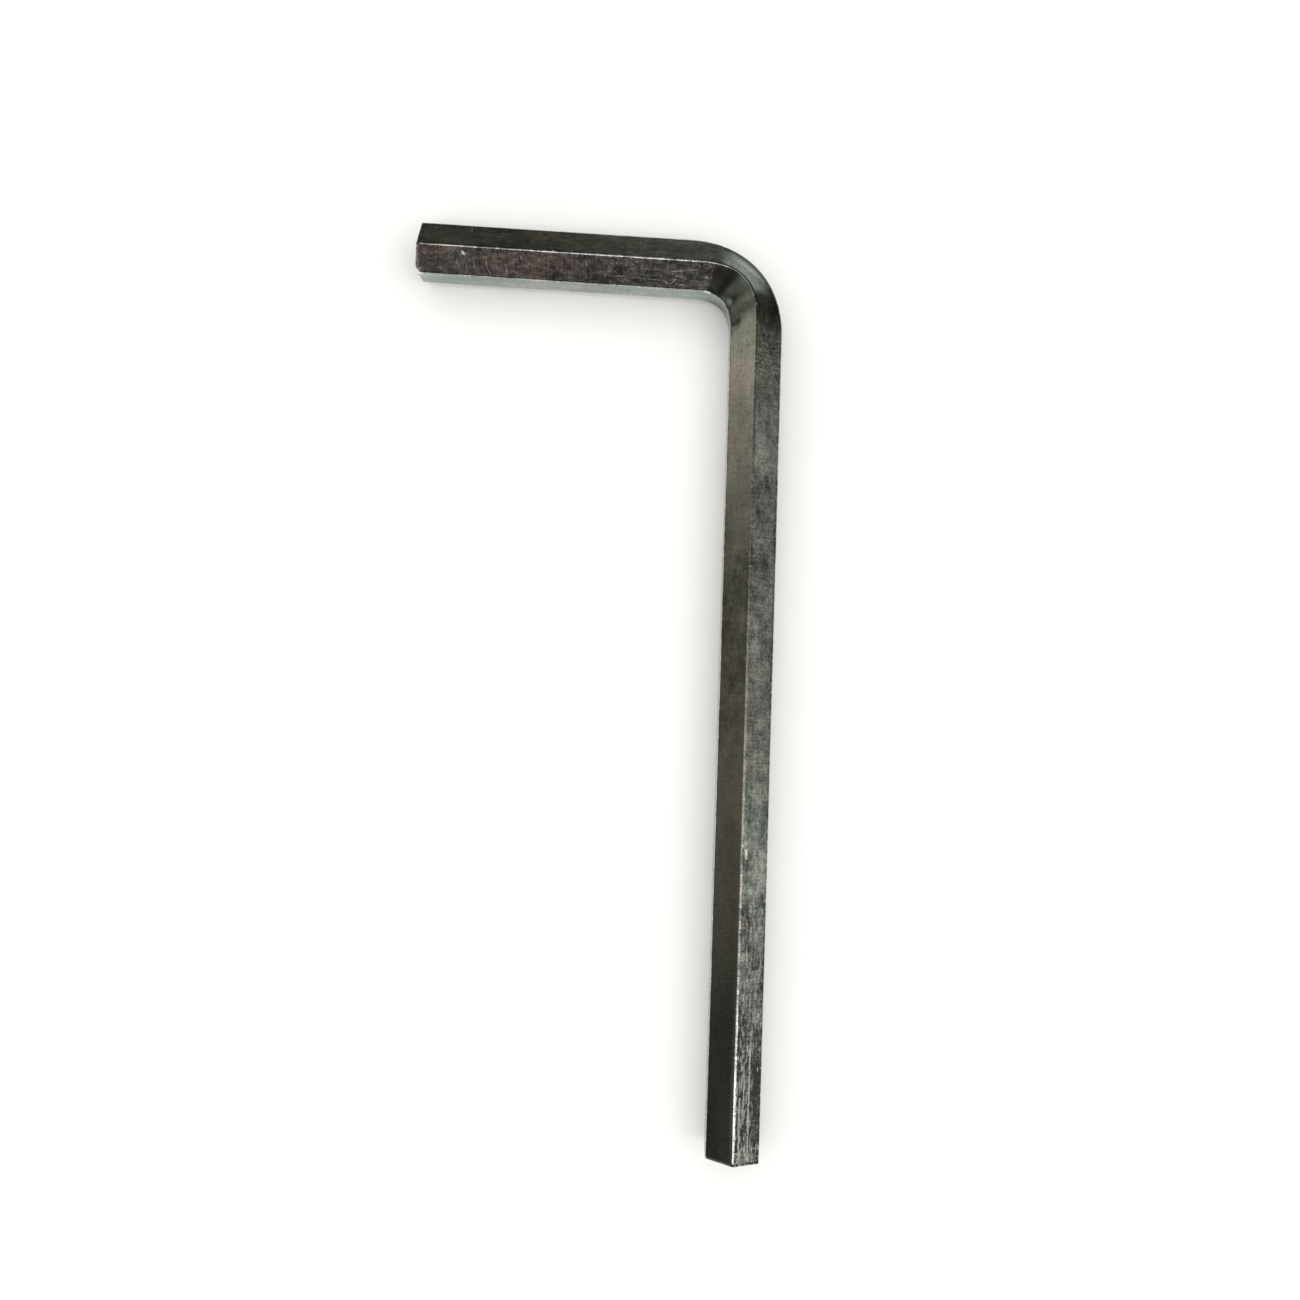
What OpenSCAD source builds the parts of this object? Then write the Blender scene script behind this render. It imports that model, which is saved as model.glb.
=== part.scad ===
// Hex key: one hexagonal steel bar, cut roughly square at both ends and bent into a short and a long arm.
// The bar lies flat on its lower corner lines, with the bend in the horizontal plane.
// The long arm points along -Y and the short arm leads off towards -X.

/* [Bar] */
// Distance across the flats of the bar
across_flats = 5; // [4.5:0.1:8]
// Radius of the six rounded corners that run along the bar
corner_radius = 0.28; // [0.22:0.01:0.6]
// Width of the broken edge round each end face
end_bevel = 0.12; // [0.04:0.02:0.2]

/* [Arms] */
// Short arm, from the middle of its end face to the back of the bend
short_arm = 35.2; // [22:0.1:60]
// Long arm, from the middle of its end face to the back of the bend
long_arm = 86.2; // [60:0.1:200]

/* [End cuts] */
// Angle of the short end's cut out of square, above 0 where the outside of the bend is the shorter side
short_slant = 4; // [-6:0.5:6]
// The same angle at the long end, where the outside of the bend is the longer side
long_slant = -4; // [-6:0.5:6]
// Angle by which the long end's cut leans, so that the bar is longer at its upper corner line
long_lean = 8; // [0:0.5:10]

/* [Bend] */
// Angle that the bar turns through, a little short of square
bend_angle = 88.2; // [80:0.1:100]
// Radius of the bar's centre line in the bend
bend_radius = 6.8; // [6.5:0.1:10]
// How far the inner flat moves outwards in mid-bend
inner_push = 0.45; // [0.2:0.05:0.6]
// How far the upper and lower corners move outwards in mid-bend
corner_push = 0.8; // [0.4:0.05:0.9]
// How far the outer flat moves outwards in mid-bend
outer_push = 0.2; // [0:0.05:0.4]
// Share by which mid-bend is wider at the inner flat and narrower at the outer one
side_spread = 0.04; // [0:0.01:0.08]

/* [Smoothness] */
// Flat strips across each rounded corner
corner_strips = 6; // [3:1:8]
// Steps along the bend
bend_steps = 44; // [24:1:60]

/* [Hidden] */
plated_steel = [0.66, 0.66, 0.63];
half_flats = across_flats / 2;
// The corner arcs keep their centres when the section is inset, and only their radius shrinks
arc_centre = (half_flats - corner_radius) / cos(30);
// From the point where the two centre lines would cross, back to where the bend begins
setback = bend_radius * tan(bend_angle / 2);
short_run = short_arm - half_flats - setback;
long_run = long_arm - half_flats - setback;
section_size = 6 * (corner_strips + 1);

// One section as [outward, upward] points: corners up and down, flats at the inside and outside of the bend
function section(inset) =
    [for (corner = [0:5], strip = [0:corner_strips])
        let (middle = 30 + 60 * corner)
        let (turn = middle - 30 + 60 * strip / corner_strips)
        [arc_centre * cos(middle) + (corner_radius - inset) * cos(turn),
         arc_centre * sin(middle) + (corner_radius - inset) * sin(turn)]];

// Outward move of a section point: a parabola through the inner flat, the corner line and the outer flat
function push(side) =
    inner_push * (side * side - side) / 2
    + corner_push * (1 - side * side)
    + outer_push * (side * side + side) / 2;

// A section point as the bend forms it, where the share goes from 0 on the arms to 1 in mid-bend
function formed(point, share) =
    let (side = point[0] / half_flats)
    [point[0] + share * push(side), point[1] * (1 - share * side_spread * side)];

// A ring of points round the bar, at a place on its centre line, facing outwards at an angle
function ring(place, angle, share) =
    [for (flat_point = section(0))
        let (point = formed(flat_point, share))
        [place[0] + point[0] * cos(angle), place[1] + point[0] * sin(angle), point[1]]];

// A ring where a slanted, leaning plane cuts an arm: each point slides along the bar, inwards from the end
function cut_ring(place, angle, inwards, slant, lean, inset) =
    [for (point = section(inset))
        let (slide = point[0] * tan(slant) - point[1] * tan(lean))
        [place[0] + point[0] * cos(angle) + slide * inwards[0],
         place[1] + point[0] * sin(angle) + slide * inwards[1],
         point[1]]];

// The centre line: outward direction and travel at an angle, and the points where the arms begin
function outward(angle) = [cos(angle), sin(angle)];
function travel(angle) = [sin(angle), -cos(angle)];
function on_short(from_end) =
    bend_radius * outward(bend_angle) - (short_run - from_end) * travel(bend_angle);
function on_long(from_end) =
    bend_radius * outward(0) + (long_run - from_end) * travel(0);

short_rings =
    [for (inset = [end_bevel, 0])
        cut_ring(on_short(end_bevel - inset), bend_angle, travel(bend_angle), short_slant, 0, inset)];
bend_rings =
    [for (step = [0:bend_steps])
        let (angle = bend_angle * (1 - step / bend_steps))
        ring(bend_radius * outward(angle), angle, pow(sin(180 * step / bend_steps), 2))];
long_rings =
    [for (inset = [0, end_bevel])
        cut_ring(on_long(end_bevel - inset), 0, -travel(0), long_slant, long_lean, inset)];
rings = concat(short_rings, bend_rings, long_rings);
skin = [for (one = rings) each one];

// The origin is under the middle of the bar's box, on the surface that it lies on
low = [for (axis = [0:2]) min([for (point = skin) point[axis]])];
high = [for (axis = [0:2]) max([for (point = skin) point[axis]])];
origin = [(low[0] + high[0]) / 2, (low[1] + high[1]) / 2, low[2]];

// Side faces between two neighbouring rings, then the two end faces
side_faces =
    [for (i = [0:len(rings) - 2], j = [0:section_size - 1])
        let (next = (j + 1) % section_size)
        [i * section_size + j, (i + 1) * section_size + j,
         (i + 1) * section_size + next, i * section_size + next]];
short_face = [for (j = [0:section_size - 1]) j];
long_face = [for (j = [0:section_size - 1]) len(skin) - 1 - j];

module hex_key() {
    color(plated_steel)
        polyhedron(
            points = [for (point = skin) point - origin],
            faces = concat(side_faces, [short_face, long_face]));
}

hex_key();
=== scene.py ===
import math

import bpy
import numpy as np
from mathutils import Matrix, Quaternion, Vector


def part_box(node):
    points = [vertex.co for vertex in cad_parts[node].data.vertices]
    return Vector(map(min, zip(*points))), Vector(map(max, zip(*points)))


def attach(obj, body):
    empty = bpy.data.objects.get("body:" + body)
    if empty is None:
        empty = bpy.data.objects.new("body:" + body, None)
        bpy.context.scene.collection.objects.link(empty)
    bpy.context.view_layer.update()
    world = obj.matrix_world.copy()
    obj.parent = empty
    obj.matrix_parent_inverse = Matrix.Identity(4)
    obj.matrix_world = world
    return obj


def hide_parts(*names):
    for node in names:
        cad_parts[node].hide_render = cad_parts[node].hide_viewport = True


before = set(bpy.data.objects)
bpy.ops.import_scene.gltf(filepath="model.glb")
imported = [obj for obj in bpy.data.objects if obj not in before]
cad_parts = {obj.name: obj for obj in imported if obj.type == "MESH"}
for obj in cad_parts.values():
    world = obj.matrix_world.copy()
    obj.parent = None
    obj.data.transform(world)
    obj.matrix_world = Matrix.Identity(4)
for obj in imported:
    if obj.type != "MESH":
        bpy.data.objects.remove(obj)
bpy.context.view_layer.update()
mm = 0.001

# The key, in millimetres and degrees. The bar, the bend and the cuts have the part's sizes, and the arms are
# within 0.02 mm of them.
key = {
    "acrossFlats": 5.0,
    "cornerRadius": 0.28,
    "shortArm": 35.22,
    "longArm": 86.18,
    "shortSlant": 4.0,      # how far the cuts are out of square, and how far the long one leans
    "longSlant": -4.0,
    "longLean": 8.0,
    "slantRun": 5.0,        # the rings turn from square to the cut over this length
    "bendAngle": 88.2,
    "bendRadius": 6.8,
    "innerPush": 0.45,      # how far the inner flat, the corner lines and the outer flat
    "cornerPush": 0.8,      # move outwards in mid-bend
    "outerPush": 0.2,
    "sideSpread": 0.04,     # share by which mid-bend is wider inside and narrower outside
    "shortEdges": (0.05, 0.1, 0.08, 0.1, 0.12, 0.07),   # width of the end's worn edge, flat by flat
    "longEdges": (0.07, 0.045, 0.08, 0.12, 0.1, 0.08),
    "edgeForm": 1.6,        # 1 makes that edge round, 2 a flat bevel
    "edgeWave": 0.3,        # share by which its width rises and falls
    "edgeWaveCounts": (7, 13, 23),
    "shortPhases": (0.4, 2.0, 5.0),
    "longPhases": (3.1, 0.7, 1.9),
    "rowStep": 0.2,         # spacing of the rings along the bar
    "fineSteps": 3,         # steps near the short end that are cut finer
    "fineParts": 4,         # parts that each of them is cut into
    "arcStrips": 6,         # strips across each rounded corner
    "flatStrips": 21,       # strips across each flat, narrower towards its corners
    "edgeRows": 6,          # rings round each end edge
    "capRings": 6,          # rings across each end face
}

# Dents in millimetres. A place is a distance along the bar from the short end, a flat and a distance across
# it. Flats count from 0, the upper outer one, through 1, the upper inner one, and 2, the inside of the bend.
dents = {
    "seed": 7,
    "waveDepth": 0.008,     # slow rise and fall of the drawn flats
    "waves": ((2.1, 3, 2.7), (5.3, 2, 3.9)),    # length along the bar, swing, length round it
    "nickCount": 70,        # small nicks along the corners
    "nickSpan": (0.6, 113),
    "nickSpread": 0.05,     # how far they stray from the corner line
    "nickLength": (0.2, 0.45),
    "nickWidth": 0.15,
    "nickDepth": (0.003, 0.012),
    # along, flat, across, half length, half width, depth
    "places": [
        (32.2, 1, 2.1, 0.5, 0.35, 0.04),
        (35.2, 1, 2.3, 0.45, 0.4, 0.05),
        (28.9, 1, 2.887, 0.55, 0.17, 0.05),
        (85.75, 0, 2.55, 0.7, 0.25, 0.1),
        (107.0, 1, -0.04, 8.0, 0.22, 0.045),
        (4.5, 1, 0.58, 0.22, 0.17, 0.05),
    ],
    # chips at the short end: outward direction as section x, section y and along, then the angle of the
    # corner line, a point's place along it and how far inside that point the chip's plane lies
    "chips": [
        ((-0.2, -0.155, -0.968), 150, -0.17, 0.02),
        ((-0.78, -0.03, -0.625), 150, 0.175, 0.0),
        ((-0.66, 0.543, -0.52), 150, -0.175, 0.28),
    ],
}


# Direction (cos, sin) of an angle in degrees
def direction(degrees):
    angle = np.radians(degrees)
    return np.stack([np.cos(angle), np.sin(angle)], -1)


# Smooth step: 3t^2 - 2t^3, where t goes from 0 at the start to 1 at the end
def smooth(value, start, end):
    t = np.clip((value - start) / (end - start), 0, 1)
    return t * t * (3 - 2 * t)


# Columns round the bar: for each corner the strips of its arc, then those of the flat up to the next corner.
# Gives the normal's and the corner's angle in degrees, the share across the flat, the distance round the bar
# and the distance from one corner to the next.
def sectionColumns():
    flat = key["acrossFlats"] / math.sqrt(3) - 2 * key["cornerRadius"] * math.tan(math.radians(30))
    arc = key["cornerRadius"] * math.radians(60)
    turn = np.linspace(-30, 30, key["arcStrips"] + 1)
    share = 0.5 - 0.5 * np.cos(math.pi * np.arange(1, key["flatStrips"]) / key["flatStrips"])
    corner = 30 + 60 * np.arange(6)[:, None]
    normal = np.concatenate([corner + turn, np.repeat(corner + 30, len(share), axis=1)], axis=1).ravel()
    middle = np.repeat(corner, len(turn) + len(share), axis=1).ravel()
    shares = np.tile(np.concatenate([0 * turn, share]), 6)
    oneRound = np.concatenate([arc * (turn + 30) / 60, arc + flat * share])
    around = (np.arange(6)[:, None] * (arc + flat) + oneRound).ravel()
    return normal, middle, shares, around, arc + flat


# Rounded hexagon: corner centre + (radius - inset) x normal, and on a flat a share of the way to the next one
def sectionPoints(normal, middle, share, inset):
    centreOut = (key["acrossFlats"] / 2 - key["cornerRadius"]) / math.cos(math.radians(30))
    start = centreOut * direction(middle) + (key["cornerRadius"] - inset)[..., None] * direction(normal)
    return start + share[..., None] * centreOut * (direction(middle + 60) - direction(middle))


# Distance round the bar of a place on a flat: whole flats, half a corner's arc and the share across
def roundBar(flat, across, pitch):
    flatWidth = key["acrossFlats"] / math.sqrt(3)
    return flat * pitch + key["cornerRadius"] * math.radians(30) + across * pitch / flatWidth


# A bell on the bar's surface: exp(-(distance along / length)^2 - (distance round / width)^2)
def bell(along, around, pitch, place, flat, across, length, width):
    whole = 6 * pitch
    beside = (around - roundBar(flat, across, pitch) + whole / 2) % whole - whole / 2
    return np.exp(-((along - place) / length) ** 2 - (beside / width) ** 2)


# How far the surface lies below its drawn form: two slow waves, and depth x bell for each dent
def dentDepth(along, around, pitch):
    random = np.random.default_rng(dents["seed"])
    phases = random.uniform(0, 2 * math.pi, 4)
    waves = [np.sin(along / length + swing * np.sin(around / width + inner) + outer)
             for (length, swing, width), inner, outer in zip(dents["waves"], phases[::2], phases[1::2])]
    depth = dents["waveDepth"] / 4 * sum(waves, 2)
    places = list(dents["places"])
    for _ in range(dents["nickCount"]):
        places.append((random.uniform(*dents["nickSpan"]), random.integers(6),
                       random.normal(0, dents["nickSpread"]), random.uniform(*dents["nickLength"]),
                       dents["nickWidth"], random.uniform(*dents["nickDepth"])))
    for place, flat, across, length, width, deep in places:
        depth = depth + deep * bell(along, around, pitch, place, flat, across, length, width)
    return depth


# Width of an end's edge round the bar: each flat's own, blended from flat to flat,
# times 1 + edgeWave x the mean of three sines
def edgeSize(around, pitch, widths, phases):
    turn = 2 * math.pi * around / (6 * pitch)
    wave = sum(np.sin(count * turn + phase) for count, phase in zip(key["edgeWaveCounts"], phases))
    middles = roundBar(np.arange(-1, 7), key["acrossFlats"] / math.sqrt(3) / 2, pitch)
    width = np.interp(around, middles, (widths[-1], *widths, widths[0]))
    return width * (1 + key["edgeWave"] * wave / len(phases))


# A chip is a plane: what lies outside it comes back to it along its normal
def cutChips(points):
    cornerOut = key["acrossFlats"] / math.sqrt(3)
    for normal, corner, along, depth in dents["chips"]:
        normal = np.array(normal) / np.linalg.norm(normal)
        plane = normal @ np.array([*(cornerOut * direction(corner)), along]) - depth
        points = points - np.maximum(points @ normal - plane, 0)[..., None] * normal
    return points


# Lengths along the centre line: short arm - half flats - setback, radius x angle, and
# long arm - half flats - setback, where the setback is radius x tan(angle / 2)
def runLengths():
    halfFlats = key["acrossFlats"] / 2
    setback = key["bendRadius"] * math.tan(math.radians(key["bendAngle"] / 2))
    bendRun = key["bendRadius"] * math.radians(key["bendAngle"])
    return key["shortArm"] - halfFlats - setback, bendRun, key["longArm"] - halfFlats - setback


# The bar while it is still straight, as section x, section y and along, in rows from the short end to the
# long one. To reach a cut, points slide along the bar by x tan(slant) at the short end, and at the long one
# by y tan(lean) - x tan(slant).
def straightBar():
    length = sum(runLengths())
    normal, middle, share, around, pitch = sectionColumns()
    turn = np.linspace(0, math.pi / 2, key["edgeRows"])[:, None]
    inwards = 1 - np.cos(turn) ** key["edgeForm"]
    outwards = 1 - np.sin(turn) ** key["edgeForm"]
    shortEdge = edgeSize(around, pitch, key["shortEdges"], key["shortPhases"])
    longEdge = edgeSize(around, pitch, key["longEdges"], key["longPhases"])
    margin = max(shortEdge.max(), longEdge.max()) + key["rowStep"]

    # Rows: the short end's edge, the body with its finer start, and the long end's edge
    body = np.linspace(margin, length - margin, int(length / key["rowStep"]))
    fine = np.arange(1, key["fineSteps"] * key["fineParts"]) / key["fineParts"]
    body = np.sort(np.append(body, margin + (body[1] - margin) * fine[fine % 1 > 0]))[:, None] + 0 * around
    along = np.concatenate([shortEdge * inwards, body, length - longEdge * inwards[::-1]])
    inset = np.concatenate([shortEdge * outwards, 0 * body, longEdge * outwards[::-1]])
    section = sectionPoints(normal + 0 * along, middle + 0 * along, share + 0 * along, inset)

    nearShort = 1 - smooth(along, margin, margin + key["slantRun"])
    nearLong = smooth(along, length - margin - key["slantRun"], length - margin)
    slopes = np.tan(np.radians([key["shortSlant"], key["longSlant"], key["longLean"]]))
    along = (along + nearShort * section[..., 0] * slopes[0]
             - nearLong * (section[..., 0] * slopes[1] - section[..., 1] * slopes[2]))
    depth = dentDepth(along, around + 0 * along, pitch)
    dented = section - depth[..., None] * direction(normal)
    return cutChips(np.concatenate([dented, along[..., None]], -1)), around


# The bar as bent: point = centre line + (out + push) x outward + up. The centre line is a straight, an arc
# and a straight. The push is a parabola through its three sizes, times sin^2 of the way through the bend.
def bentBar(straight):
    shortRun, bendRun, _ = runLengths()
    along = straight[..., 2]
    bendShare = np.clip((along - shortRun) / bendRun, 0, 1)
    formed = np.sin(math.pi * bendShare) ** 2
    side = straight[..., 0] / (key["acrossFlats"] / 2)
    push = (key["innerPush"] * (side**2 - side) / 2 + key["cornerPush"] * (1 - side**2)
            + key["outerPush"] * (side**2 + side) / 2)
    out = straight[..., 0] + formed * push
    up = straight[..., 1] * (1 - formed * key["sideSpread"] * side)
    outward = direction(key["bendAngle"] * (1 - bendShare))
    travel = np.stack([outward[..., 1], -outward[..., 0]], -1)
    past = np.minimum(along - shortRun, 0) + np.maximum(along - shortRun - bendRun, 0)
    level = (key["bendRadius"] + out)[..., None] * outward + past[..., None] * travel
    return np.concatenate([level, up[..., None]], -1)


# Rings across each end face: middle + size x (outermost ring - middle). The two middles are the last points.
def closeEnds(rows):
    sizes = np.linspace(1, 0, key["capRings"] + 1)[1:-1, None, None]
    first = rows[0].mean(axis=0)
    last = rows[-1].mean(axis=0)
    rings = np.concatenate([first + sizes[::-1] * (rows[0] - first), rows, last + sizes * (rows[-1] - last)])
    return np.concatenate([rings.reshape(-1, 3), [first, last]])


# Faces of four corners between neighbouring rings, and a fan of triangles round the middle of each end face
def barFaces(rowCount, count):
    i, j = np.meshgrid(np.arange(rowCount - 1), np.arange(count), indexing="ij")
    after = (j + 1) % count
    quads = np.stack([i * count + j, i * count + after, (i + 1) * count + after, (i + 1) * count + j], -1)
    ring = np.arange(count)
    nextRing = (ring + 1) % count
    lastRow = (rowCount - 1) * count
    shortFan = np.stack([np.full(count, rowCount * count), nextRing, ring], -1)
    longFan = np.stack([np.full(count, rowCount * count + 1), lastRow + ring, lastRow + nextRing], -1)
    return quads.reshape(-1, 4), np.concatenate([shortFan, longFan])


# The key's points as bent, as straight and as unrolled (round, along, 0), then 1 for those on an end face,
# and its faces
def buildKey():
    straight, around = straightBar()
    along = straight[..., 2]
    unrolled = np.stack([around + 0 * along, along, 0 * along], -1)
    vertices, barPlace, unrolled = (closeEnds(rows) for rows in (bentBar(straight), straight, unrolled))
    capRows = key["capRings"] - 1
    capPoints = capRows * len(around)
    onEnd = np.zeros(len(vertices))
    onEnd[:capPoints] = 1
    onEnd[-2 - capPoints:] = 1
    return vertices, barPlace, unrolled, onEnd, *barFaces(len(along) + 2 * capRows, len(around))


def makePiece(name, vertices, quads, triangles):
    mesh = bpy.data.meshes.new(name)
    mesh.vertices.add(len(vertices))
    mesh.vertices.foreach_set("co", (vertices * mm).ravel())
    corners = np.concatenate([quads.ravel(), triangles.ravel()])
    sizes = np.concatenate([np.full(len(quads), 4), np.full(len(triangles), 3)])
    mesh.loops.add(len(corners))
    mesh.loops.foreach_set("vertex_index", corners.astype(np.int32))
    mesh.polygons.add(len(sizes))
    mesh.polygons.foreach_set("loop_start", (np.cumsum(sizes) - sizes).astype(np.int32))
    mesh.update(calc_edges=True)
    mesh.shade_smooth()
    piece = bpy.data.objects.new(name, mesh)
    bpy.context.scene.collection.objects.link(piece)
    return piece


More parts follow.
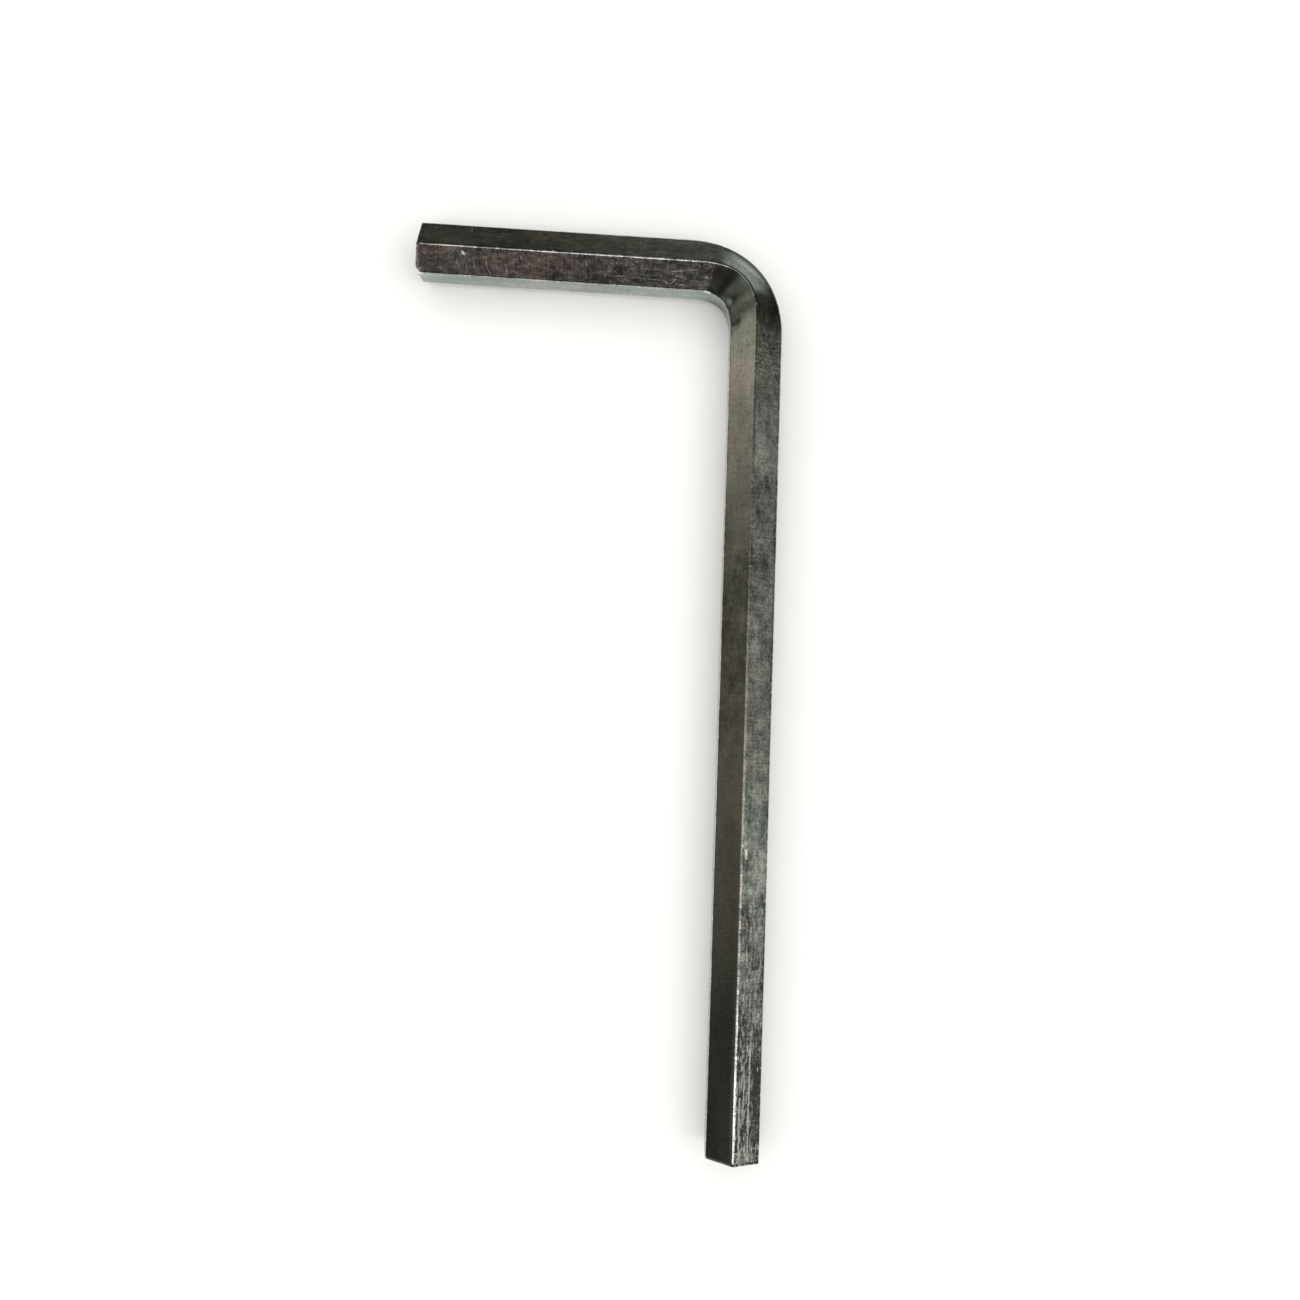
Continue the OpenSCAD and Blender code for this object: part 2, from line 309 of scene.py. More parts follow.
# Bright plating over steel. Sizes are in millimetres, and places are given as for the dents.
plating = {
    # place in the tone scale, colour
    "tones": [
        (0.0, (0.06, 0.062, 0.058)),
        (0.35, (0.24, 0.24, 0.23)),
        (0.65, (0.50, 0.496, 0.478)),
        (1.0, (0.86, 0.855, 0.835)),
    ],
    "tone": 0.6,
    # Colour of bare worn metal, also used for the painted highlights
    "wornAndHighlight": (0.92, 0.91, 0.88),
    "warmTint": (1.13, 0.94, 0.95),
    "coolTint": (0.84, 1.05, 0.98),
    "roughness": (0.12, 0.24),
    "wornRoughness": 0.2,   # what worn places, painted highlights and the end faces add
    "endRoughness": 0.15,
    "bumpStrength": 0.4,
    "bumpHeight": 0.03,
    "streakRelief": 0.5,
    # Noises: size across the bar, size along it, detail, roughness
    "noises": {
        "blotch": (0.4, 0.72, 5.0, 0.62),
        "patch": (1.2, 1.8, 3.0, 0.55),
        "cloud": (3.0, 7.0, 2.0, 0.55),
        "stain": (2.6, 3.6, 2.0, 0.55),
        "streak": (0.22, 3.0, 3.0, 0.6),
        "flake": (0.2, 0.8, 3.0, 0.6),
        "ripple": (2.0, 0.2, 2.0, 0.5),
        "speck": (0.2, 0.2, 2.0, 0.5),
        "rub": (0.8, 0.4, 3.0, 0.55),
    },
    # What they add to the tone: how far from its middle a noise counts, and the amount there
    "swings": {
        "blotch": (0.2, 0.2),
        "patch": (0.18, 0.2),
        "cloud": (0.2, 0.07),
        "streak": (0.15, 0.3),
        "flake": (0.14, 0.3),
        "ripple": (0.2, 0.09),
        "speck": (0.2, 0.15),
    },
    # Marks: the noise that breaks them up, where it starts and ends, and the amounts there
    "marks": {
        "scratchAndHighlight": ("speck", 0.3, 0.5, 0.4, 1.0),
        "fleck": ("speck", 0.62, 0.7, 0.0, 1.0),
        "rubbed": ("rub", 0.55, 0.7, 0.0, 0.5),
        "flaked": ("flake", 0.57, 0.63, 0.0, 1.0),
        "warmed": ("stain", 0.42, 0.62, 0.0, 1.0),
        "cooled": ("stain", 0.58, 0.42, 0.0, 1.0),
        "hazed": ("blotch", 0.3, 0.7, 0.0, 1.0),
    },
    "wander": 0.25,         # how far scratches stray from a straight line,
    "wanderScale": 1.3,     # and about how often in a millimetre
    "facing": (0.84, 0.9),  # cosine to a flat's middle, where that flat's finish starts and is full
    "cornerReach": (5, 2),  # degrees from a corner line, where its wear starts and is full
    # What every place has
    "base": {
        "tone": 0.0,
        "mottle": 0.5,
        "fine": 0.4,
        "streaks": 0.08,
        "warm": 0.1,
        "cool": 0.1,
        "flecks": 0.0,
        "flakes": 0.0,
        "pink": 0.0,
        "teal": 0.0,
    },
    # What each stretch of a flat adds: its flat, its span along the bar and how softly it ends. Their tones
    # are partly the plating's own and partly painted shade and painted highlight
    "areas": [
        {"flat": 0, "span": (-2, 15), "soft": 4, "mottle": -0.1, "warm": 0.3, "cool": 0.3},
        {"flat": 0, "span": (15, 28), "soft": 4, "mottle": -0.05, "tone": 0.05},
        # Round the bend on the upper outer flat: painted shade and painted highlight over the plating's own
        # tints and flecks
        {"flat": 0, "span": (28.5, 33.5), "soft": 1, "mottle": -0.4, "teal": 0.3, "tone": -0.1},
        {"flat": 0, "span": (33.2, 35.8), "soft": 1, "tone": -0.13},
        {"flat": 0, "span": (33.5, 37), "soft": 1, "mottle": 0.1, "flecks": 0.1, "warm": 0.6, "tone": 0.04},
        {"flat": 0, "span": (37, 41), "soft": 1.5, "fine": 0.5, "flecks": 0.2},
        {"flat": 0, "span": (36, 50), "soft": 3, "mottle": 0.05, "fine": 0.5, "tone": 0.08},
        {"flat": 0, "span": (50, 59), "soft": 3, "mottle": 0.2, "fine": 0.4, "tone": -0.21},
        {"flat": 0, "span": (59, 80), "soft": 3, "fine": 0.4, "tone": -0.12},
        {"flat": 0, "span": (80, 90), "soft": 4, "mottle": 0.25, "fine": 0.4, "streaks": 0.1, "cool": 0.1,
         "tone": -0.12},
        {"flat": 0, "span": (90, 100), "soft": 4, "mottle": 0.3, "fine": 0.5, "streaks": 0.2, "flakes": 0.2,
         "tone": -0.28},
        {"flat": 0, "span": (100, 115), "soft": 4, "mottle": 0.3, "fine": 0.6, "streaks": 0.4, "flakes": 0.8,
         "tone": -0.41},
        {"flat": 0, "span": (112.3, 115), "soft": 0.5, "mottle": 0.3, "flecks": 2.5, "flakes": 0.5,
         "tone": 0.15},
        {"flat": 1, "span": (-2, 30), "soft": 2, "mottle": 0.2, "fine": 0.5, "streaks": 0.1, "flecks": 0.05,
         "warm": 0.3, "pink": 0.45},
        {"flat": 1, "span": (31, 38), "soft": 2, "teal": 0.3, "warm": -0.2},
        {"flat": 1, "span": (2.5, 12), "soft": 3, "tone": 0.07},
        {"flat": 1, "span": (15, 30), "soft": 4, "tone": -0.1, "pink": -0.25, "cool": 0.3},
        {"flat": 1, "span": (18.5, 22), "soft": 1, "flecks": 0.15},
        {"flat": 1, "span": (26.8, 29), "soft": 1, "flecks": 0.15},
        # Painted shade on the upper inner flat early in the bend
        {"flat": 1, "span": (28.7, 30.9), "soft": 0.7, "mottle": -0.5, "fine": -0.6, "teal": 0.3,
         "tone": -0.2},
        {"flat": 1, "span": (31.5, 57), "soft": 2, "mottle": -0.35, "warm": 0.2},
        {"flat": 1, "span": (57, 76), "soft": 8, "mottle": -0.1},
        {"flat": 1, "span": (76, 115), "soft": 8, "mottle": -0.4, "streaks": -0.05},
        {"flat": 1, "span": (98, 115), "soft": 6, "tone": -0.12},
        {"flat": 1, "span": (44, 67), "soft": 4, "tone": -0.04},
        # The inner flat's darker tone is partly painted shade, dimming the floor it mirrors
        {"flat": 2, "span": (-2, 34), "soft": 2, "mottle": -0.3, "cool": 0.6, "warm": 0.1, "teal": 0.25,
         "tone": -0.18},
        {"flat": 2, "span": (34, 115), "soft": 2, "mottle": 0.1, "tone": -0.22},
        {"flat": 3, "span": (-2, 115), "soft": 2, "mottle": 0.3, "streaks": 0.3},
        {"flat": 4, "span": (-2, 115), "soft": 2, "mottle": 0.2, "streaks": 0.2},
    ],
    # Stains, painted shade and painted highlights: along, flat, across, half length, half width, what they
    # change and by how much
    "stainsAndPaintedLight": [
        (32.2, 1, 2.0, 0.6, 0.4, "tone", -0.3),
        (35.2, 1, 2.2, 0.6, 0.45, "tone", -0.3),
        (35.6, 1, 2.7, 1.2, 0.7, "tone", -0.2),
        # Painted highlight and painted shade on the upper inner flat in the bend
        (33.8, 1, 2.4, 1.2, 0.8, "tone", 0.15),
        (28.3, 1, 0.6, 1.1, 0.8, "tone", -0.2),
        (29.4, 1, 1.5, 1.3, 0.7, "tone", -0.08),
        (27.9, 1, 2.5, 0.8, 0.4, "tone", 0.3),
        # Painted highlight band and painted shade on the upper outer flat in the bend
        (25.6, 0, 1.6, 1.8, 1.5, "tone", -0.14),
        (26.8, 0, 0.3, 1.6, 0.5, "tone", 0.25),
        (28.6, 0, 1.8, 0.9, 1.5, "tone", -0.1),
        (31.0, 0, 0.1, 3.2, 0.8, "tone", -0.7),
        (31.0, 0, 2.5, 2.4, 0.9, "tone", 0.28),
        # Painted shade, with a little painted highlight, on the inner flat in the bend
        (31.7, 2, 2.3, 2.2, 0.9, "tone", -0.4),
        (27.0, 2, 1.4, 2.6, 1.6, "tone", 0.13),
        (33.3, 2, 1.3, 1.7, 2.0, "tone", -0.6),
        (39.6, 0, 1.4, 1.3, 1.5, "tone", -0.06),
        (49.0, 0, 1.5, 2.5, 2.0, "tone", 0.08),
        (61.0, 0, 1.5, 2.5, 2.0, "tone", -0.04),
        (73.5, 0, 1.5, 3.0, 2.0, "tone", 0.06),
        (91.3, 0, 1.5, 3.8, 2.0, "tone", 0.09),
        (97.5, 0, 1.5, 3.0, 2.0, "tone", -0.1),
        # Painted shade: a dark line along the outer corner of the upper outer flat
        (75.0, 0, 0.0, 42.0, 0.22, "tone", -0.3),
        (54.0, 0, 1.6, 1.6, 0.7, "tone", -0.12),
        (59.0, 0, 1.3, 1.2, 0.6, "tone", -0.1),
        (107.5, 0, 0.5, 5.0, 0.7, "tone", -0.3),
        (107.5, 0, 0.5, 5.5, 0.7, "streaks", -0.4),
        (107.5, 0, 0.5, 5.5, 0.7, "mottle", -0.4),
        (107.5, 0, 0.5, 5.5, 0.7, "flakes", -0.9),
        (113.3, 0, 1.5, 0.5, 1.5, "tone", 0.3),
        (90.5, 1, 1.4, 2.5, 1.6, "tone", -0.08),
        # Painted shade that dims the ridge's highlight on the short arm
        (8.0, 1, 0.0, 13.0, 0.16, "tone", -0.22),
        (12.0, 1, 0.0, 18.0, 0.16, "pink", -0.4),
        # Painted shade that dims the ridge's highlight in the bend and on the long arm
        (32.3, 1, 0.0, 3.5, 0.13, "tone", -0.35),
        (70.0, 1, 0.0, 22.0, 0.13, "tone", -0.03),
        (111.0, 0, 1.9, 2.5, 0.35, "tone", -0.2),
        (3.5, 2, 1.5, 2.6, 1.2, "teal", 1.2),
        (26.8, 2, 1.4, 1.5, 0.9, "teal", 1.8),
        (9.5, 2, 1.5, 2.0, 1.2, "pink", 0.3),
        (28.0, 1, 2.6, 0.9, 0.4, "pink", 1.0),
        (55.0, 0, 1.4, 1.5, 0.8, "pink", 0.3),
        (82.8, 0, 1.3, 1.0, 0.8, "teal", 0.5),
        (93.2, 0, 1.2, 0.9, 0.6, "teal", 0.6),
        (90.6, 0, 1.3, 0.5, 0.4, "teal", 0.4),
        (85.4, 0, 2.0, 0.5, 0.4, "pink", 0.5),
        (91.9, 0, 2.4, 1.0, 0.4, "pink", 0.7),
        (104.0, 0, 0.6, 1.3, 0.5, "teal", 0.5),
    ],
    # Scratches and painted highlights: along, flat and across at one end, along and across at the other,
    # width
    "scratchesAndHighlights": [
        (3.9, 1, 1.2, 4.0, 1.9, 0.07),
        (4.83, 1, 1.6, 4.9, 2.6, 0.08),
        (5.5, 1, 1.5, 5.6, 2.1, 0.07),
        (6.6, 1, 0.95, 6.75, 1.75, 0.1),
        (6.75, 1, 1.75, 7.15, 2.65, 0.1),
        (8.6, 1, 1.5, 8.7, 2.5, 0.08),
        (10.0, 1, 0.75, 10.1, 1.1, 0.08),
        (16.2, 1, 0.8, 16.35, 1.25, 0.1),
        (4.35, 1, 0.5, 4.6, 0.85, 0.26),
        (13.0, 1, 0.0, 13.2, 0.0, 0.2),
        (19.4, 1, 0.0, 19.7, 0.0, 0.16),
        (23.4, 1, 0.0, 23.7, 0.0, 0.18),
        (18.0, 1, 1.95, 23.4, 2.1, 0.05),
        (19.0, 1, 0.25, 19.5, 0.35, 0.1),
        (20.5, 1, 0.3, 21.3, 0.55, 0.08),
        (24.5, 1, 1.22, 26.9, 0.88, 0.08),
        (23.7, 1, 2.1, 24.2, 2.45, 0.08),
        (24.4, 1, 2.4, 24.9, 1.95, 0.08),
        (24.9, 1, 1.6, 25.9, 1.8, 0.08),
        (25.2, 1, 2.5, 25.7, 2.4, 0.08),
        (25.3, 1, 0.9, 25.5, 1.7, 0.06),
        (28.0, 1, 1.5, 28.5, 1.7, 0.08),
        # Painted highlight: the bright spot on the inner corner line in the bend
        (28.5, 1, 2.87, 29.3, 2.9, 0.4),
        # Painted highlight on the chipped facet at the short end's inner corner
        (0.1, 1, 2.6, 0.3, 2.95, 0.9),
        # Worn rim along the short end's edge, painted light: part wear, part painted highlight
        (0.1, 1, 0.3, 0.1, 2.2, 0.3),
        (0.7, 1, 0.95, 0.85, 1.0, 0.2),
        (1.6, 0, 0.6, 1.9, 0.62, 0.12),
        (5.0, 0, 0.3, 5.1, 0.95, 0.07),
        (43.0, 0, 1.7, 45.6, 1.85, 0.05),
        (85.0, 0, 2.85, 85.35, 2.5, 0.26),
        (85.35, 0, 2.5, 86.2, 2.38, 0.28),
        (90.8, 0, 0.38, 91.3, 0.4, 0.12),
        (98.6, 0, 2.25, 99.1, 2.25, 0.16),
        (103.3, 0, 1.65, 104.2, 1.5, 0.14),
        (105.3, 0, 0.42, 105.6, 0.44, 0.16),
        (103.5, 0, 1.34, 113.4, 1.36, 0.24),
        (105.0, 0, 1.95, 110.2, 1.9, 0.16),
        (108.0, 0, 2.36, 113.8, 2.3, 0.22),
    ],
}


# Finish at each point: the base, plus what each area adds times how squarely the point lies on its flat and
# span, plus amount x bell for each stain, painted shade and painted highlight
def finishFields(barPlace, unrolled, onEnd):
    along, around = unrolled[:, 1], unrolled[:, 0]
    pitch = sectionColumns()[-1]
    facing = barPlace[:, :2] / np.maximum(np.linalg.norm(barPlace[:, :2], axis=1, keepdims=True), 1e-6)
    fields = {name: np.full(len(along), value) for name, value in plating["base"].items()}
    for area in plating["areas"]:
        start, end = area["span"]
        soft = area["soft"] / 2
        weight = smooth(along, start - soft, start + soft) * (1 - smooth(along, end - soft, end + soft))
        weight *= smooth(facing @ direction(60 + 60 * area["flat"]), *plating["facing"]) * (1 - onEnd)
        for name in fields:
            fields[name] += weight * area.get(name, 0)
    for place, flat, across, length, width, name, amount in plating["stainsAndPaintedLight"]:
        fields[name] += amount * bell(along, around, pitch, place, flat, across, length, width)
    cornerward = np.max([facing @ direction(30 + 60 * corner) for corner in range(6)], axis=0)
    fields["corner"] = smooth(cornerward, *np.cos(np.radians(plating["cornerReach"]))) * (1 - onEnd)
    fields["onEnd"] = onEnd
    return fields


# Adds a node, with values or links for its inputs in order, and gives its first output
def add(tree, kind, *values, **settings):
    made = tree.nodes.new(kind)
    for name, value in settings.items():
        setattr(made, name, value)
    for socket, value in zip(made.inputs, values):
        if isinstance(value, bpy.types.NodeSocket):
            tree.links.new(value, socket)
        elif value is not None:
            socket.default_value = value
    return made.outputs[0]


# The first value with each of the others in turn
def maths(tree, operation, first, *others):
    for other in others or (None,):
        first = add(tree, "ShaderNodeMath", first, other, operation=operation)
    return first


def vectors(tree, operation, *values):
    made = add(tree, "ShaderNodeVectorMath", *values, operation=operation)
    return made.node.outputs["Value"] if operation in ("DOT_PRODUCT", "LENGTH", "DISTANCE") else made


def scaled(tree, vector, amount):
    made = vectors(tree, "SCALE", vector)
    scale = made.node.inputs["Scale"]
    if isinstance(amount, bpy.types.NodeSocket):
        tree.links.new(amount, scale)
    else:
        scale.default_value = amount
    return made


# Smooth step of a value from one range to another
def ease(tree, value, fromLow, fromHigh, toLow=0.0, toHigh=1.0):
    return add(tree, "ShaderNodeMapRange", value, fromLow, fromHigh, toLow, toHigh,
               interpolation_type="SMOOTHSTEP")


def blend(tree, amount, first, second, kind="MIX"):
    made = tree.nodes.new("ShaderNodeMix")
    made.data_type = "RGBA"
    made.blend_type = kind
    for name, value in (("Factor_Float", amount), ("A_Color", first), ("B_Color", second)):
        socket = next(s for s in made.inputs if s.identifier == name)
        if isinstance(value, bpy.types.NodeSocket):
            tree.links.new(value, socket)
        else:
            socket.default_value = value
    return next(s for s in made.outputs if s.identifier == "Result_Color")


# One of the piece's own attributes
def fromMesh(tree, name, output="Fac"):
    return add(tree, "ShaderNodeAttribute", attribute_name=name).node.outputs[output]


# Noise whose features have the given sizes along the section's two axes and along the bar
def noise(tree, place, across, along, detail, roughness):
    stretched = vectors(tree, "MULTIPLY", place, (1 / across, 1 / across, 1 / along))
    return add(tree, "ShaderNodeTexNoise", stretched, None, 1.0, detail, roughness)


# 1 on the line from start to end, 0 past the width: by the distance to the nearest point of that line
def lineMask(tree, place, start, end, width):
    run = Vector(end) - Vector(start)
    fromStart = vectors(tree, "SUBTRACT", place, start)
    share = maths(tree, "DIVIDE", vectors(tree, "DOT_PRODUCT", fromStart, tuple(run)), run.length_squared)
    share.node.use_clamp = True
    nearest = scaled(tree, tuple(run), share)
    return ease(tree, vectors(tree, "DISTANCE", fromStart, nearest), width / 2, 0.1 * width)


# Scratches and painted highlights on the unrolled surface, which wanders a little so that no line is ruled.
# Where two meet, the stronger one shows.
def scratchAndHighlightMarks(tree):
    unrolled = fromMesh(tree, "unrolled", "Vector")
    wander = add(tree, "ShaderNodeTexNoise", unrolled, None, plating["wanderScale"], 2.0, 0.5)
    centred = vectors(tree, "SUBTRACT", wander.node.outputs["Color"], (0.5, 0.5, 0.5))
    offset = scaled(tree, centred, plating["wander"])
    wandered = vectors(tree, "MULTIPLY", vectors(tree, "ADD", unrolled, offset), (1, 1, 0))
    pitch = sectionColumns()[-1]
    masks = []
    for along, flat, across, alongEnd, acrossEnd, width in plating["scratchesAndHighlights"]:
        start = (roundBar(flat, across, pitch), along, 0)
        end = (roundBar(flat, acrossEnd, pitch), alongEnd, 0)
        masks.append(lineMask(tree, wandered, start, end, width))
    return maths(tree, "MAXIMUM", *masks)


# Tone scale from dark to bright steel
def toneRamp(tree, shade):
    ramp = add(tree, "ShaderNodeValToRGB", shade).node
    elements = ramp.color_ramp.elements
    while len(elements) < len(plating["tones"]):
        elements.new(0.5)
    for element, (position, colour) in zip(elements, plating["tones"]):
        element.position = position
        element.color = (*colour, 1)
    return ramp.outputs["Color"]


# Bright plating: blotches, drawn streaks, ripples across the bar, flecks, worn corners and scratches, with
# painted shade and painted highlights in its tone and in some scratch marks
def platedSteel():
    material = bpy.data.materials.new("platedSteel")
    material.use_nodes = True
    tree = material.node_tree
    shader = tree.nodes["Principled BSDF"]
    shader.inputs["Metallic"].default_value = 1.0

    place = fromMesh(tree, "barPlace", "Vector")
    field = {name: fromMesh(tree, name) for name in (*plating["base"], "corner", "onEnd")}
    grains = {name: noise(tree, place, *form) for name, form in plating["noises"].items()}
    swing = {name: ease(tree, grains[name], 0.5 - reach, 0.5 + reach, -amount, amount)
             for name, (reach, amount) in plating["swings"].items()}
    mark = {name: ease(tree, grains[grain], *limits) for name, (grain, *limits) in plating["marks"].items()}

    scratchAndHighlight = maths(tree, "MULTIPLY", scratchAndHighlightMarks(tree), mark["scratchAndHighlight"])
    fleck = maths(tree, "MULTIPLY", mark["fleck"], field["flecks"])
    rubbed = maths(tree, "MULTIPLY", mark["rubbed"], field["corner"])
    flaked = maths(tree, "MULTIPLY", mark["flaked"], field["flakes"])
    # Worn metal from flecks, rubbed corners, flakes and scratches, with the painted highlights that come in
    # with the scratch marks
    wornAndHighlight = maths(tree, "MAXIMUM", scratchAndHighlight, fleck, rubbed, flaked)

    grain = maths(tree, "MULTIPLY", maths(tree, "ADD", swing["blotch"], swing["patch"]), field["mottle"])
    weave = maths(tree, "MULTIPLY", maths(tree, "ADD", swing["speck"], swing["ripple"]), field["fine"])
    lines = maths(tree, "MULTIPLY", maths(tree, "ADD", swing["streak"], swing["flake"]), field["streaks"])
    # The tone field holds the plating's own tone and painted shade and painted highlights
    shade = maths(tree, "ADD", field["tone"], plating["tone"], swing["cloud"], grain, weave, lines)

    warmed = maths(tree, "ADD", maths(tree, "MULTIPLY", mark["warmed"], field["warm"]), field["pink"])
    cooled = maths(tree, "ADD", maths(tree, "MULTIPLY", mark["cooled"], field["cool"]), field["teal"])
    tint = blend(tree, warmed, (1, 1, 1, 1), (*plating["warmTint"], 1))
    tint = blend(tree, cooled, tint, (*plating["coolTint"], 1))
    colour = blend(tree, 1.0, toneRamp(tree, shade), tint, "MULTIPLY")
    colour = blend(tree, wornAndHighlight, colour, (*plating["wornAndHighlight"], 1))
    tree.links.new(colour, shader.inputs["Base Color"])

    hazy = maths(tree, "MULTIPLY", mark["hazed"], field["mottle"])
    rough = maths(tree, "ADD", ease(tree, hazy, 0.0, 1.0, *plating["roughness"]),
                  maths(tree, "MULTIPLY", wornAndHighlight, plating["wornRoughness"]),
                  maths(tree, "MULTIPLY", field["onEnd"], plating["endRoughness"]))
    tree.links.new(rough, shader.inputs["Roughness"])

    drawn = maths(tree, "MULTIPLY", grains["streak"], plating["streakRelief"])
    relief = maths(tree, "ADD", grains["blotch"], drawn)
    relief = maths(tree, "MULTIPLY", relief, maths(tree, "ADD", field["mottle"], field["onEnd"]))
    relief = maths(tree, "SUBTRACT", relief, fleck)
    bump = tree.nodes.new("ShaderNodeBump")
    bump.inputs["Strength"].default_value = plating["bumpStrength"]
    bump.inputs["Distance"].default_value = plating["bumpHeight"] * mm
    tree.links.new(relief, bump.inputs["Height"])
    tree.links.new(bump.outputs[0], shader.inputs["Normal"])
    return material


# Studio: floor and lights, places in millimetres and directions in degrees
studio = {
    "floorSize": 8000.0,
    "floorNear": (0.90, 0.90, 0.895),
    # Colour of the far floor, darkened as painted shade
    "floorFarShade": (0.46, 0.46, 0.455),
    "floorBlend": (105.0, 330.0),
    "floorRoughness": 0.9,
    "floorSpecular": 0.1,
    "floorLight": 2.65,
    "floorLightSpread": 130.0,
    "surround": (0.042, 0.044, 0.035),
    # bearing from +X, height above the floor, full and last reach, glow
    "panels": [
        (146, 28, 12, 26, (0.50, 0.465, 0.385)),
        (-166, 49, 9, 20, (0.095, 0.1, 0.084)),
        (176, 42, 3, 9.5, (0.13, 0.13, 0.11)),
        (-179, 30, 2, 10, (0.108, 0.084, 0.062)),
        (-2, 26, 9, 22, (0.325, 0.335, 0.305)),
        (-15, 26, 5, 13, (0.35, 0.36, 0.33)),
        (57, 6, 17, 23, (0.29, 0.315, 0.288)),
        (81, 11, 5, 14, (0.05, 0.05, 0.044)),
        (92, 11, 3, 12, (0.024, 0.024, 0.018)),
        (-98, 47, 6, 20, (0.075, 0.06, 0.058)),
        (-154, 6, 3, 11, (1.5, 1.5, 1.45)),
        (-60, 88, 10, 26, (0.13, 0.13, 0.125)),
        (-80, 81, 8, 22, (0.75, 0.75, 0.7)),
        (180, 66, 8, 17, (0.5, 0.49, 0.46)),
        (80, 60, 5, 13, (0.3, 0.3, 0.28)),
        (-14, 54, 10, 16, (0.95, 0.95, 0.9)),
        (15, 50, 9, 18, (0.17, 0.17, 0.16)),
        (-45, 8, 8, 20, (0.5, 0.5, 0.48)),
        (-138, 22, 8, 17, (0.25, 0.25, 0.235)),
    ],
    "topBox": {"place": (110, -148, 420), "aim": (110, -30, 4), "size": (440, 80), "glow": 2.8,
               "colour": (1, 1, 0.98)},
}


# A flat floor, pale under the key and quietly darker far away: the darkening is painted shade, standing for
# light that falls off with distance
def buildFloor():
    half = studio["floorSize"] / 2 * mm
    mesh = bpy.data.meshes.new("floor")
    corners = [(-half, -half, 0), (half, -half, 0), (half, half, 0), (-half, half, 0)]
    mesh.from_pydata(corners, [], [(0, 1, 2, 3)])
    floor = bpy.data.objects.new("floor", mesh)
    bpy.context.scene.collection.objects.link(floor)
    material = bpy.data.materials.new("palePaper")
    material.use_nodes = True
    tree = material.node_tree
    shader = tree.nodes["Principled BSDF"]
    shader.inputs["Roughness"].default_value = studio["floorRoughness"]
    shader.inputs["Specular IOR Level"].default_value = studio["floorSpecular"]
    away = vectors(tree, "LENGTH", add(tree, "ShaderNodeTexCoord").node.outputs["Object"])
    far = ease(tree, away, *(reach * mm for reach in studio["floorBlend"]))
    colour = blend(tree, far, (*studio["floorNear"], 1), (*studio["floorFarShade"], 1))
    tree.links.new(colour, shader.inputs["Base Color"])
    mesh.materials.append(material)


# A dim room with soft panels: each adds its glow where the angle to its middle is small
def buildSurround():
    world = bpy.data.worlds.new("surround")
    bpy.context.scene.world = world
    world.use_nodes = True
    tree = world.node_tree
    look = add(tree, "ShaderNodeTexCoord").node.outputs["Generated"]
    colour = add(tree, "ShaderNodeRGB")
    colour.default_value = (*studio["surround"], 1)
    for bearing, height, full, last, glow in studio["panels"]:
        level = direction(bearing) * math.cos(math.radians(height))
        toPanel = (float(level[0]), float(level[1]), math.sin(math.radians(height)))
        angle = maths(tree, "ARCCOSINE", vectors(tree, "DOT_PRODUCT", look, toPanel))
        amount = ease(tree, angle, math.radians(last), math.radians(full))
        colour = blend(tree, amount, colour, (*glow, 1), "ADD")
    # What the camera sees beyond the floor takes the far floor's painted shade colour
    seen = add(tree, "ShaderNodeLightPath").node.outputs["Is Camera Ray"]
    colour = blend(tree, seen, colour, (*studio["floorFarShade"], 1))
    tree.links.new(colour, tree.nodes["Background"].inputs["Color"])


# A rectangular lamp whose energy is glow x pi x area, so the glow is how bright its face looks
def softbox(name, box):
    data = bpy.data.lights.new(name, "AREA")
    data.shape = "RECTANGLE"
    data.size = box["size"][0] * mm
    data.size_y = box["size"][1] * mm
    data.energy = box["glow"] * math.pi * data.size * data.size_y
    data.color = box["colour"]
    lamp = bpy.data.objects.new(name, data)
    bpy.context.scene.collection.objects.link(lamp)
    lamp.location = Vector(box["place"]) * mm
    lamp.rotation_euler = (Vector(box["aim"]) - Vector(box["place"])).to_track_quat("-Z", "Y").to_euler()
    lamp.visible_camera = False


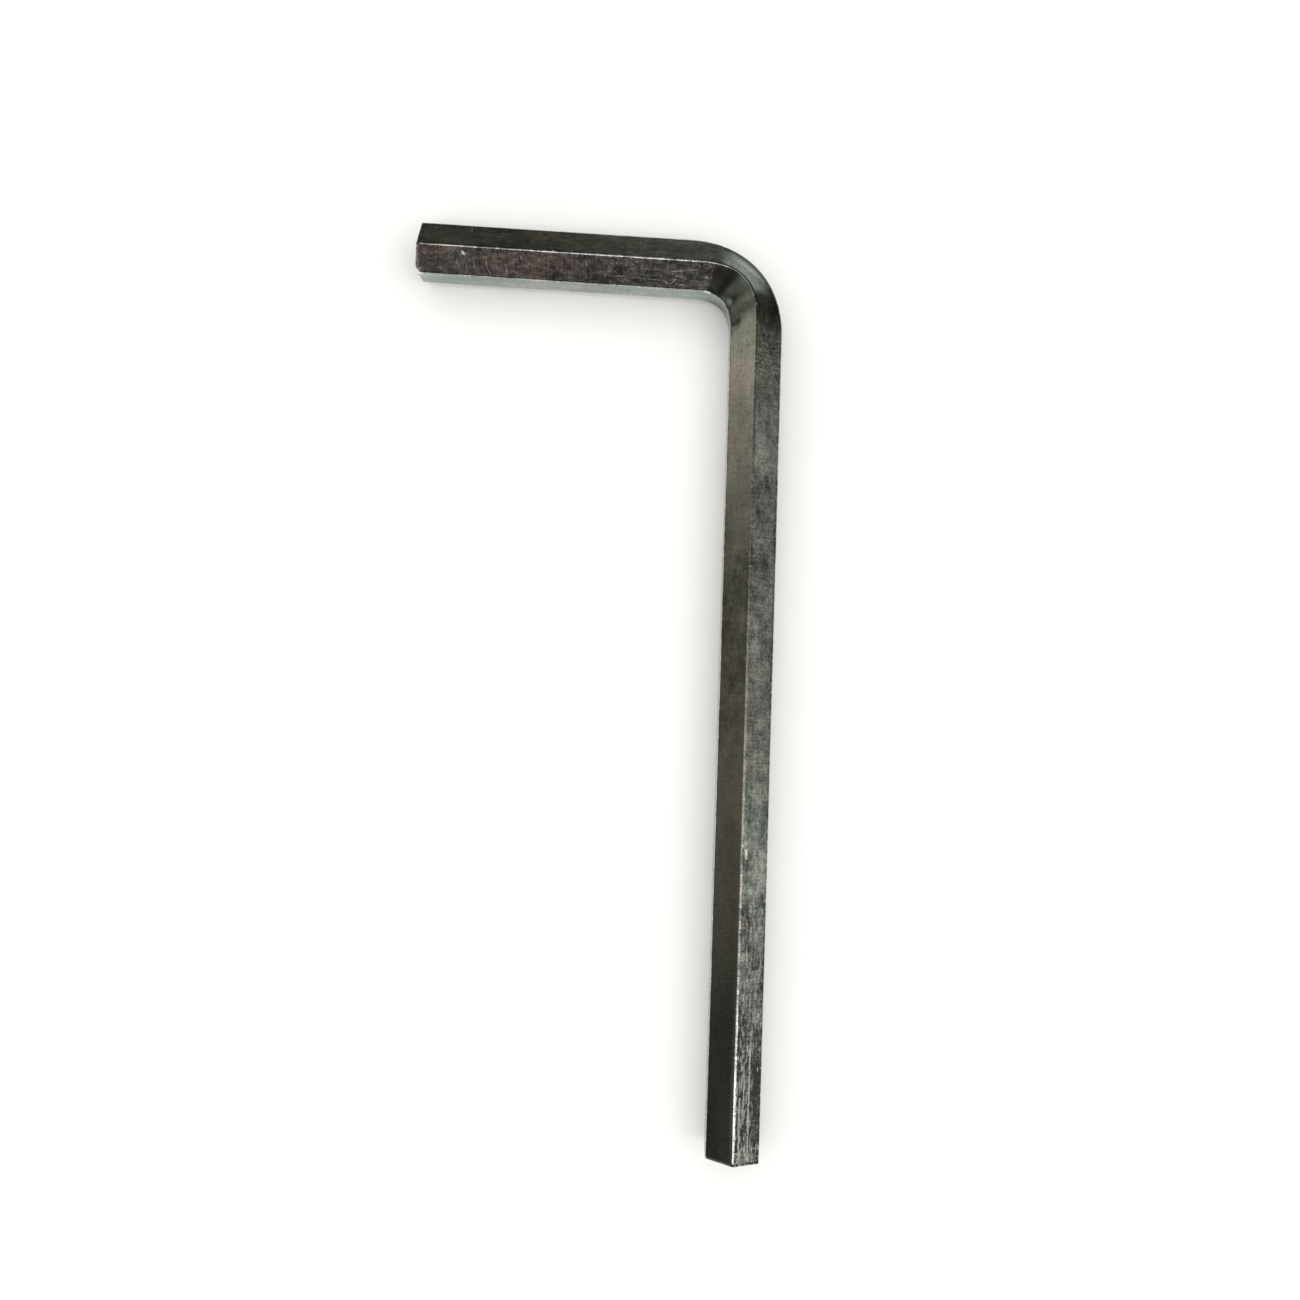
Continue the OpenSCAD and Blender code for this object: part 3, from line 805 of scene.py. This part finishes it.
# The lamp over the key, and a broad soft sun that isn't mirrored, so that it lights only the floor
def buildLights():
    data = bpy.data.lights.new("floorLight", "SUN")
    data.energy = studio["floorLight"]
    data.angle = math.radians(studio["floorLightSpread"])
    lamp = bpy.data.objects.new("floorLight", data)
    bpy.context.scene.collection.objects.link(lamp)
    lamp.visible_glossy = False
    softbox("topBox", studio["topBox"])


# Camera over the key, at the photo's viewing angle
camera = {
    "place": (6.39, -6.92, 145.29),
    "lookAt": (6.085, 3.37, 2.84),
    "roll": 0.253,
    "focalInWidths": 1500 / 1300,   # focal length over the width of the picture
    "sensorWidth": 36,
    "nearest": 10,                  # nothing closer than this is drawn
}


def buildCamera():
    data = bpy.data.cameras.new("camera")
    data.sensor_width = camera["sensorWidth"]
    data.lens = camera["focalInWidths"] * data.sensor_width
    data.clip_start = camera["nearest"] * mm
    holder = bpy.data.objects.new("camera", data)
    bpy.context.scene.collection.objects.link(holder)
    holder.location = Vector(camera["place"]) * mm
    aim = (Vector(camera["lookAt"]) - Vector(camera["place"])).to_track_quat("-Z", "Y")
    holder.rotation_euler = (aim @ Quaternion((0, 0, 1), math.radians(camera["roll"]))).to_euler()
    bpy.context.scene.camera = holder
    bpy.context.scene.view_settings.view_transform = "Standard"


vertices, barPlace, unrolled, onEnd, quads, triangles = buildKey()
low, high = (np.array(corner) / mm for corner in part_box("hex_key"))
vertices += (high[0] - vertices[:, 0].max(), low[1] - vertices[:, 1].min(), low[2] - vertices[:, 2].min())
keyPiece = makePiece("hexKey", vertices, quads, triangles)
print("key:", len(vertices), "points,", 2 * len(quads) + len(triangles), "triangles")

for name, values in (("barPlace", barPlace), ("unrolled", unrolled)):
    attribute = keyPiece.data.attributes.new(name, "FLOAT_VECTOR", "POINT")
    attribute.data.foreach_set("vector", values.ravel().astype(np.float32))
for name, values in finishFields(barPlace, unrolled, onEnd).items():
    attribute = keyPiece.data.attributes.new(name, "FLOAT", "POINT")
    attribute.data.foreach_set("value", values.astype(np.float32))
keyPiece.data.materials.append(platedSteel())
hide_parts("hex_key")
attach(keyPiece, "root")
print("finish: plated steel")

buildFloor()
buildSurround()
buildLights()
buildCamera()
print("studio: floor, surround, lights and camera")
